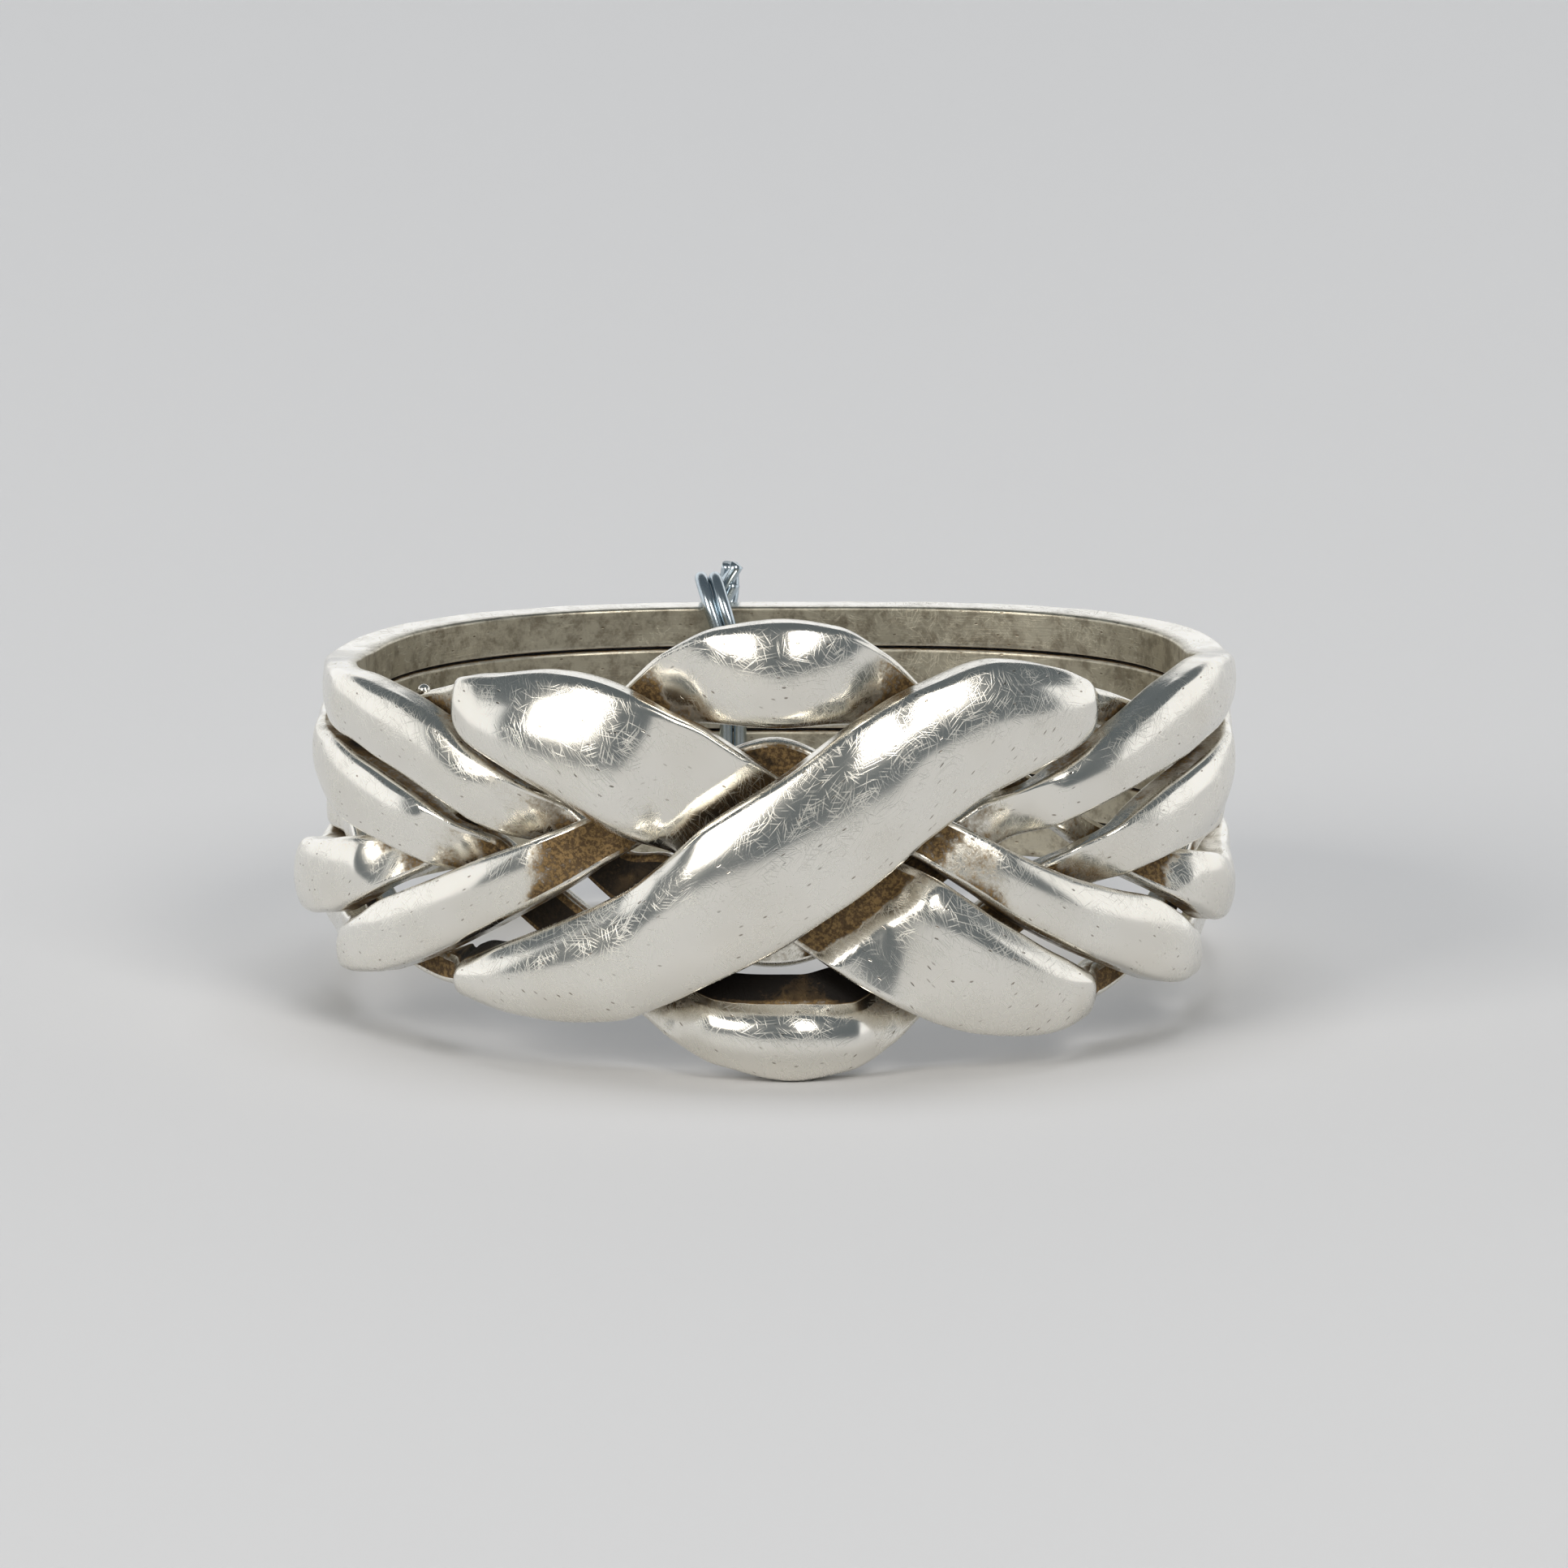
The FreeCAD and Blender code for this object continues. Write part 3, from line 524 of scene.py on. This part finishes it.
def closedIn(mesh, stepOf, placeOf, tree):
    # share of the sky near each place that other metal blocks, found on every third point
    steps, every = band["stepsRound"], oxideAndShadeSearch["every"]
    coarse = np.zeros((steps // every, sectionPoints // every))
    directions = []
    for i in range(oxideAndShadeSearch["rays"]):
        up = 1 - (i + 0.5) / oxideAndShadeSearch["rays"] * oxideAndShadeSearch["spread"]
        turn = i * goldenTurn
        flat = math.sqrt(1 - up * up)
        directions.append(Vector((flat * math.cos(turn), flat * math.sin(turn), up)))
    chosen = np.nonzero((stepOf % every == 0) & (placeOf % every == 0))[0]
    for index in chosen.tolist():
        v = mesh.vertices[index]
        turn = v.normal.to_track_quat("Z", "Y")
        start = v.co + v.normal * oxideAndShadeSearch["skin"]
        blocked = 0.0
        for direction in directions:
            distance = tree.ray_cast(start, turn @ direction, oxideAndShadeSearch["reach"])[3]
            if distance is not None:
                blocked += 1 - oxideAndShadeSearch["fade"] * distance / oxideAndShadeSearch["reach"]
        coarse[stepOf[index] // every, placeOf[index] // every] = blocked / oxideAndShadeSearch["rays"]
    # spread over the points between
    for axis in (0, 1):
        after = np.roll(coarse, -1, axis)
        between = [coarse + (after - coarse) * i / every for i in range(every)]
        wider = [size * every if side == axis else size for side, size in enumerate(coarse.shape)]
        coarse = np.stack(between, axis=axis + 1).reshape(wider)
    return coarse[stepOf, placeOf]


def addSurfaceMap(mesh, grid):
    # turns the sheet's UV into millimetres along and across the band, for marks on the surface
    steps = band["stepsRound"]
    closedGrid = np.concatenate([grid, grid[:, :1]], axis=1)
    edges = np.hypot(*np.moveaxis(np.diff(closedGrid[:, :, :2], axis=1), 2, 0))
    across = np.concatenate([np.zeros((steps, 1)), np.cumsum(edges, axis=1)], axis=1)
    layer = mesh.uv_layers["surface"].data
    sheet = readValues(layer, "uv", 2, np.float32)
    step = np.rint(sheet[:, 0] * steps).astype(int)
    place = np.rint(sheet[:, 1] * sectionPoints).astype(int)
    along = step * 2 * math.pi * band["mapRadius"] / steps
    surface = np.stack([along, across[step % steps, place]], axis=1)
    layer.foreach_set("uv", surface.astype(np.float32).ravel())


def addPointValues(mesh, name, values):
    attribute = mesh.attributes.new(name, "FLOAT", "POINT")
    attribute.data.foreach_set("value", values.astype(np.float32))


silver = {
    "polished": "#F0EDE5",     # sterling silver, faintly warm
    "haze": "#DAD4C6",         # thin tarnish film
    "inside": "#C9C3B0",       # inside of the shank, dull and yellowed
    "brown": "#5C4930",        # oxide left in the hollows
    "ochre": "#94794F",
    "oxideAndShadeBlack": "#17120E",        # black of the darkest oxide, and painted shade in the deepest crevices
    "polish": 0.17,            # roughness of the best kept places
    "grain": 0.09,             # oxide grain in mm
    "pitsApart": 0.42,         # casting pits in mm
    "brushLine": 0.04,         # lines left by the emery stick inside, in mm
    "markDepth": 0.005,        # of a scratch, in mm
    "relief": 0.3,             # how strongly the marks show
}

# Fine scratches, real ones a hundredth of a millimetre wide, drawn three times as wide to show:
# (direction in degrees, length and spacing in mm, share of the places that are scratched)
scratchLayers = [
    (12, 1.2, 0.05, 0.4), (58, 1.0, 0.045, 0.5), (97, 1.1, 0.05, 0.4), (141, 0.9, 0.045, 0.45),
    (168, 1.5, 0.055, 0.3), (36, 0.7, 0.04, 0.5), (118, 1.8, 0.055, 0.3), (76, 0.8, 0.04, 0.5),
]


def addScratches(tree, surface, direction, length, spacing, share):
    # short straight scratches lying one way: long thin cells, of which only some are marked; each
    # direction starts from another place, so that no two of them fall together
    turned = addNode(tree, "ShaderNodeMapping", 0,
                     {"Vector": surface, "Rotation": (0, 0, math.radians(direction)),
                      "Location": (direction * 0.31, direction * 0.17, 0)})
    thin = addNode(tree, "ShaderNodeMapping", 0, {"Vector": turned, "Scale": (1 / length, 1 / spacing, 1)})
    cells = addNode(tree, "ShaderNodeTexVoronoi", "Distance", {"Vector": thin, "Scale": 1.0},
                    voronoi_dimensions="2D")
    stroke = addNode(tree, "ShaderNodeMapRange", 0, {"Value": cells, "From Min": 0.27, "From Max": 0.08})
    chance = addNode(tree, "ShaderNodeSeparateColor", 0, {0: cells.node.outputs["Color"]})
    kept = addNode(tree, "ShaderNodeMapRange", 0,
                   {"Value": chance, "From Min": 1 - share, "From Max": 1.25 - share})
    return addNode(tree, "ShaderNodeMath", 0, {0: stroke, 1: kept}, operation="MULTIPLY")


# Sterling silver, cast, filed and worn for years: mirror-like with a milky haze of fine
# scratches, bright on the high parts, brown oxide where nothing rubs, and black painted shade in the deepest
# crevices and on some upper sides.
def makeWornSilver():
    material, tree = newMaterial("worn_sterling_silver")
    tint = {name: linearColour(silver[name])
            for name in ("polished", "haze", "inside", "brown", "ochre", "oxideAndShadeBlack")}
    space = addNode(tree, "ShaderNodeTexCoord", "Object")
    surface = addNode(tree, "ShaderNodeUVMap", uv_map="surface")
    closed, stained, inner, edge = [addNode(tree, "ShaderNodeAttribute", "Fac", attribute_name=name)
                                    for name in ("closed", "stained", "inner", "edge")]
    patches, grain, cloud, blotch, swirl = [
        addNode(tree, "ShaderNodeTexNoise", "Fac",
                {"Vector": space, "Scale": 1 / (size * mm), "Detail": detail, "Roughness": roughness})
        for size, detail, roughness in ((0.7, 3.0, 0.6), (silver["grain"], 4.0, 0.7), (2.5, 2.0, 0.6),
                                        (0.5, 4.0, 0.75), (1.6, 2.0, 0.6))]

    # oxide stays where the metal is closed in, with a ragged edge, and is rubbed off the edges; the most
    # closed-in places also get black painted shade
    oxideAndShadePlace = closed
    for place, amount in ((patches, 0.45), (grain, 0.4), (edge, -0.14)):
        oxideAndShadePlace = addNode(tree, "ShaderNodeMath", 0, {0: place, 1: amount, 2: oxideAndShadePlace},
                          operation="MULTIPLY_ADD")
    oxideAndShadeTotal = addNode(tree, "ShaderNodeMath", 0, {0: oxideAndShadePlace, 1: stained}, operation="ADD")
    # the third and fourth of these lay black painted shade where the metal is most closed in, over the
    # darkest oxide
    film, brown, oxideAndShadeBlack, deepOxideAndShade, deep, speckle, dull, stain, rubbed = [
        addNode(tree, "ShaderNodeMapRange", 0, {"Value": value, "From Min": low, "From Max": high},
                interpolation_type="SMOOTHSTEP")
        for value, low, high in ((oxideAndShadeTotal, 0.56, 0.9), (oxideAndShadeTotal, 0.74, 0.98), (oxideAndShadePlace, 0.98, 1.2),
                                 (oxideAndShadeTotal, 1.45, 1.75), (patches, 0.4, 0.22), (grain, 0.44, 0.6),
                                 (cloud, 0.35, 0.75), (blotch, 0.42, 0.66), (swirl, 0.3, 0.6))]

    # small casting pits, a few tenths of a millimetre apart, some drawn out along the band
    pitPlace = addNode(tree, "ShaderNodeMapping", 0, {"Vector": surface, "Scale": (0.75, 1.6, 1)})
    pits = addNode(tree, "ShaderNodeTexVoronoi", "Distance",
                   {"Vector": pitPlace, "Scale": 1 / silver["pitsApart"]}, voronoi_dimensions="2D")
    pitShape = addNode(tree, "ShaderNodeMapRange", 0, {"Value": pits, "From Min": 0.095, "From Max": 0.05})
    pitChance = addNode(tree, "ShaderNodeSeparateColor", 1, {0: pits.node.outputs["Color"]})
    pitKept = addNode(tree, "ShaderNodeMapRange", 0, {"Value": pitChance, "From Min": 0.5, "From Max": 0.9})
    pit = addNode(tree, "ShaderNodeMath", 0, {0: pitShape, 1: pitKept}, operation="MULTIPLY")

    # fine scratches where the face is rubbed, and the emery lines inside
    crossed = 0.0
    for layer in scratchLayers:
        strokes = addScratches(tree, surface, *layer)
        crossed = addNode(tree, "ShaderNodeMath", 0, {0: strokes, 1: crossed}, operation="ADD")
    scratched = addNode(tree, "ShaderNodeMath", 0, {0: crossed, 1: rubbed},
                        operation="MULTIPLY", use_clamp=True)
    drawn = addNode(tree, "ShaderNodeMapping", 0,
                    {"Vector": surface, "Scale": (1.2, 1 / silver["brushLine"], 1)})
    brushed = addNode(tree, "ShaderNodeTexNoise", "Fac", {"Vector": drawn, "Scale": 1.0, "Detail": 2.0},
                      noise_dimensions="2D")
    insideLines = addNode(tree, "ShaderNodeMath", 0, {0: brushed, 1: inner}, operation="MULTIPLY")
    insideStain = addNode(tree, "ShaderNodeMath", 0, {0: stain, 1: inner}, operation="MULTIPLY")
    oxideGrit = addNode(tree, "ShaderNodeMath", 0, {0: grain, 1: brown}, operation="MULTIPLY")

    oxide = addNode(tree, "ShaderNodeMix", 2, {0: speckle, 6: tint["brown"], 7: tint["ochre"]},
                    data_type="RGBA")
    oxide = addNode(tree, "ShaderNodeMix", 2, {0: deep, 6: oxide, 7: tint["oxideAndShadeBlack"]}, data_type="RGBA")
    colour = tint["polished"]
    # the two black layers are painted shade in the deepest crevices as well as dark oxide
    for place, amount, over in ((dull, 0.3, tint["haze"]), (inner, 0.9, tint["inside"]),
                                (insideStain, 0.5, tint["brown"]), (film, 0.9, tint["haze"]),
                                (brown, 1.0, oxide), (oxideAndShadeBlack, 1.0, tint["oxideAndShadeBlack"]),
                                (deepOxideAndShade, 0.9, tint["oxideAndShadeBlack"]), (pit, 0.7, tint["brown"])):
        share = addNode(tree, "ShaderNodeMath", 0, {0: place, 1: amount}, operation="MULTIPLY")
        colour = addNode(tree, "ShaderNodeMix", 2, {0: share, 6: colour, 7: over}, data_type="RGBA")

    # what each of them does to the roughness and to the height of the surface
    rough = silver["polish"] - 0.05
    for place, amount in ((cloud, 0.12), (scratched, 0.24), (inner, 0.2), (film, 0.14), (brown, 0.3)):
        rough = addNode(tree, "ShaderNodeMath", 0, {0: place, 1: amount, 2: rough}, operation="MULTIPLY_ADD")
    height = 0.0
    for place, amount in ((scratched, -0.8), (pit, -2.5), (insideLines, 2.5), (oxideGrit, 9.0),
                          (patches, 0.1)):
        height = addNode(tree, "ShaderNodeMath", 0, {0: place, 1: amount, 2: height},
                         operation="MULTIPLY_ADD")
    metallic = addNode(tree, "ShaderNodeMath", 0, {0: brown, 1: -0.5, 2: 1.0}, operation="MULTIPLY_ADD")
    bump = addNode(tree, "ShaderNodeBump", 0, {"Height": height, "Strength": silver["relief"],
                                               "Distance": silver["markDepth"] * mm})
    shader = addNode(tree, "ShaderNodeBsdfPrincipled", 0,
                     {"Base Color": colour, "Metallic": metallic, "Roughness": rough, "Normal": bump})
    addNode(tree, "ShaderNodeOutputMaterial", None, {"Surface": shader})
    return material


# Tinned iron wire, drawn: bright, a little blue, with fine draw lines along it. The lines, real
# ones a few thousandths of a millimetre apart, are drawn a tenth apart to show.
def makeTieWire():
    material, tree = newMaterial("tinned_tie_wire")
    space = addNode(tree, "ShaderNodeTexCoord", "Object")
    drawn = addNode(tree, "ShaderNodeMapping", 0, {"Vector": space, "Scale": (9000, 9000, 500)})
    lines = addNode(tree, "ShaderNodeTexNoise", "Fac", {"Vector": drawn, "Scale": 1.0, "Detail": 2.0})
    dull = addNode(tree, "ShaderNodeTexNoise", "Fac",
                   {"Vector": space, "Scale": 1 / (0.5 * mm), "Detail": 3.0})
    colour = addNode(tree, "ShaderNodeMix", 2,
                     {0: dull, 6: linearColour("#D3DDE3"), 7: linearColour("#A9B8C2")}, data_type="RGBA")
    rough = addNode(tree, "ShaderNodeMath", 0, {0: dull, 1: 0.2, 2: 0.14}, operation="MULTIPLY_ADD")
    bump = addNode(tree, "ShaderNodeBump", 0, {"Height": lines, "Strength": 0.4, "Distance": 0.004 * mm})
    shader = addNode(tree, "ShaderNodeBsdfPrincipled", 0,
                     {"Base Color": colour, "Metallic": 1.0, "Roughness": rough, "Normal": bump})
    addNode(tree, "ShaderNodeOutputMaterial", None, {"Surface": shader})
    return material


bandBodies = {"band_1": "top_band", "band_2": "second_band", "band_3": "core_band",
              "band_4": "fourth_band", "band_5": "fifth_band", "band_6": "bottom_band"}
bead = {"angle": -53.7, "radius": 10.15, "height": 3.5, "size": 0.15}
wornSilver = makeWornSilver()
tieMetal = makeTieWire()


def addBead(mesh):
    # a bead of silver in the corner between the top band and the lobe beside it; it lies on the lobe,
    # and is drawn with the top band
    angle = math.radians(bead["angle"])
    place = Vector((bead["radius"] * math.sin(angle), -bead["radius"] * math.cos(angle), bead["height"]))
    bm = bmesh.new()
    bm.from_mesh(mesh)
    bmesh.ops.create_icosphere(bm, subdivisions=3, radius=bead["size"] * mm,
                               matrix=Matrix.Translation(place * mm))
    bm.to_mesh(mesh)
    bm.free()


def makeBands():
    blank = makeBlankRing()
    print("blank ring of", len(blank.faces), "faces")
    grids = {name: bandGrid(name) for name in bandLevels}
    meshes = {name: makeBandMesh(name, blank, grids[name]) for name in bandLevels}
    blank.free()
    print("shaped the bands")
    tree = surroundings(meshes)
    for name, (mesh, steps, places) in meshes.items():
        grid = grids[name]
        # how closed in each place is, plus the painted shade on some upper sides; it lays oxide and painted
        # shade
        closed = closedIn(mesh, steps, places, tree) + paintedShadeChange(name, grid)[steps, places]
        addPointValues(mesh, "closed", closed)
        addPointValues(mesh, "stained", oxideLeft(name, grid)[steps, places])
        addPointValues(mesh, "inner", np.clip(1 - grid[steps, places, 2] * 3, 0, 1))
        addPointValues(mesh, "edge", grid[steps, places, 3])
        addSurfaceMap(mesh, grid)
        if name == "band_1":
            addBead(mesh)
        mesh.materials.append(wornSilver)
        mesh.shade_smooth()
        piece = bpy.data.objects.new(mesh.name, mesh)
        bpy.context.scene.collection.objects.link(piece)
        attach(piece, bandBodies[name])
        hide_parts(name)
        print("finished", piece.name, len(mesh.polygons), "faces")


makeBands()

# strand is the radius of one wire and apart half the distance between the two, in millimetres;
# twist is the turn of the ends from one point of the tail to the next, in degrees
tie = {"strand": 0.16, "apart": 0.165, "twist": 70, "twistRadius": 0.15}
# The middle of the doubled wire, from the twisted ends at the outside of the rim, down and
# under, up inside the rim leaning to the left, and back over the top.
tieRoute = [
    (-1.25, 11.28, 2.3), (-1.32, 11.24, 1.2), (-1.4, 11.2, -0.6), (-1.42, 11.18, -2.5),
    (-1.38, 11.04, -3.4), (-1.3, 10.4, -3.9), (-1.18, 9.75, -3.84), (-1.06, 9.26, -3.25),
    (-1.02, 9.18, -2.0), (-1.0, 9.18, 0), (-1.02, 9.18, 1.6), (-1.2, 9.22, 2.5),
    (-1.42, 9.36, 3.1), (-1.56, 9.75, 3.52), (-1.62, 10.3, 3.62), (-1.58, 10.85, 3.42),
    (-1.45, 11.2, 2.95), (-1.32, 11.34, 2.5),
]
tieTail = [(-1.28, 11.36, 2.35), (-1.2, 11.42, 2.8), (-1.1, 11.46, 3.3), (-0.98, 11.46, 3.75)]


def makeStrand(points, name):
    curve = bpy.data.curves.new(name, "CURVE")
    curve.dimensions = "3D"
    spline = curve.splines.new("NURBS")
    spline.points.add(len(points) - 1)
    for target, point in zip(spline.points, points):
        target.co = (*(Vector(point) * mm), 1)
    spline.use_endpoint_u = True
    spline.order_u = 3
    spline.resolution_u = 8
    curve.bevel_depth = tie["strand"] * mm
    curve.bevel_resolution = 5
    curve.use_fill_caps = True
    return bpy.data.objects.new(name, curve)


def makeTie():
    side = tie["apart"]
    joined = bmesh.new()
    for index, sign in enumerate((-1, 1)):
        loop = [(x + sign * side, y, z) for x, y, z in tieRoute]
        # four wire ends wind round each other, of which one was cut shorter
        start, end = [], []
        endLength = len(tieTail) - 1 + index
        for i, (x, y, z) in enumerate(tieTail):
            for tail, phase, keep in ((start, 0, len(tieTail)), (end, 2, endLength)):
                if i < keep:
                    turn = math.radians(tie["twist"] * i) + (index + phase) * math.pi / 2
                    out = tie["twistRadius"]
                    tail.append((x + out * math.cos(turn), y + out * math.sin(turn), z))
        strand = makeStrand(start[::-1] + loop + end, "strand")
        bpy.context.scene.collection.objects.link(strand)
        bpy.context.view_layer.update()
        mesh = bpy.data.meshes.new_from_object(strand)
        joined.from_mesh(mesh)
        bpy.data.objects.remove(strand)
    bmesh.ops.remove_doubles(joined, verts=joined.verts, dist=0.001 * mm)
    bmesh.ops.recalc_face_normals(joined, faces=joined.faces)
    piece = objectFromBmesh(joined, "tie_strands", tieMetal)
    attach(piece, "tie")
    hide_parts("tie_wire")
    print("finished", piece.name)


makeTie()

# Lengths are in metres
studio = {
    "floorColour": "#DEDEDF",
    "floorSize": 1.6,
    "floorGap": 0.03 * mm,  # the floor lies this far under the lowest metal
    "wallColour": "#F2F2F2",
    # painted glow: the backdrop paper shines by emission, though it is no lamp
    "wallPaintedGlow": 0.5,
    "wallRadius": 0.9,
    "wallFoot": -0.03,
    "wallHeight": 0.5,
    "wallTurn": 204,        # degrees round the back
    "roomColour": "#62696D",
    "roomStrength": 1.0,
}


def makeStageMaterial(name, colour, glow=0.0):
    # matt paper, very slightly uneven; a glow above nought paints light into it as emission
    material, tree = newMaterial(name)
    space = addNode(tree, "ShaderNodeTexCoord", "Object")
    fibre = addNode(tree, "ShaderNodeTexNoise", "Fac",
                    {"Vector": space, "Scale": 1 / (0.35 * mm), "Detail": 3.0})
    bump = addNode(tree, "ShaderNodeBump", 0, {"Height": fibre, "Strength": 0.12, "Distance": 0.02 * mm})
    shader = addNode(tree, "ShaderNodeBsdfPrincipled", 0,
                     {"Base Color": linearColour(colour), "Roughness": 0.9, "Normal": bump,
                      "Emission Color": linearColour(colour), "Emission Strength": glow})
    addNode(tree, "ShaderNodeOutputMaterial", None, {"Surface": shader})
    return material


def makeFloor():
    # the ring stands on the lowest point of its knot and on the tie at the back
    knotLow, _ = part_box("band_2")
    tieLow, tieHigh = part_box("tie_wire")
    run = (tieLow.y + tieHigh.y) / 2 - knotLow.y
    tilt = math.atan2(tieLow.z - knotLow.z, run)
    bm = bmesh.new()
    bmesh.ops.create_grid(bm, x_segments=2, y_segments=2, size=studio["floorSize"])
    bmesh.ops.rotate(bm, verts=bm.verts, cent=(0, 0, 0), matrix=Matrix.Rotation(tilt, 3, "X"))
    drop = knotLow.z - knotLow.y * math.tan(tilt) - studio["floorGap"]
    bmesh.ops.translate(bm, verts=bm.verts, vec=(0, 0, drop))
    objectFromBmesh(bm, "floor", makeStageMaterial("paper_floor", studio["floorColour"]))
    # a low pale wall round the back and both sides, open towards the camera, glowing with painted light
    wall = bmesh.new()
    radius = studio["wallRadius"]
    turn = math.radians(studio["wallTurn"])
    low = wall.verts.new((-radius * math.sin(turn / 2), radius * math.cos(turn / 2), studio["wallFoot"]))
    high = wall.verts.new(low.co + Vector((0, 0, studio["wallHeight"])))
    edge = wall.edges.new((low, high))
    bmesh.ops.spin(wall, geom=[low, high, edge], cent=(0, 0, 0), axis=(0, 0, -1), angle=turn, steps=48)
    glowingPaper = makeStageMaterial("paper_backdrop_painted_glow", studio["wallColour"], studio["wallPaintedGlow"])
    objectFromBmesh(wall, "backdrop", glowingPaper)


def makeLight(name, azimuth, elevation, distance, size, power, colour, mirrored=True):
    data = bpy.data.lights.new(name, "AREA")
    data.shape = "RECTANGLE"
    data.size, data.size_y = size
    data.energy = power
    data.color = linearColour(colour)[:3]
    made = bpy.data.objects.new(name, data)
    turn, rise = math.radians(azimuth), math.radians(elevation)
    away = Vector((math.sin(turn) * math.cos(rise), -math.cos(turn) * math.cos(rise), math.sin(rise)))
    made.location = away * distance
    made.rotation_euler = (-away).to_track_quat("-Z", "Y").to_euler()
    made.visible_camera = False
    made.visible_glossy = mirrored
    bpy.context.scene.collection.objects.link(made)


def makeStudio():
    makeFloor()
    makeLight("softbox_left", -42, 27, 0.8, (0.36, 0.36), 2.6, "#FFFAF3")
    makeLight("softbox_right", 27, 36, 0.8, (0.26, 0.36), 2.1, "#FFFAF3")
    makeLight("overhead", 180, 78, 0.9, (0.7, 0.4), 2.7, "#FBFCFF", mirrored=False)
    world = bpy.data.worlds.new("room")
    bpy.context.scene.world = world
    world.use_nodes = True
    room = world.node_tree.nodes["Background"]
    room.inputs["Color"].default_value = linearColour(studio["roomColour"])
    room.inputs["Strength"].default_value = studio["roomStrength"]
    bpy.context.scene.view_settings.view_transform = "Standard"


makeStudio()
print("stage set")
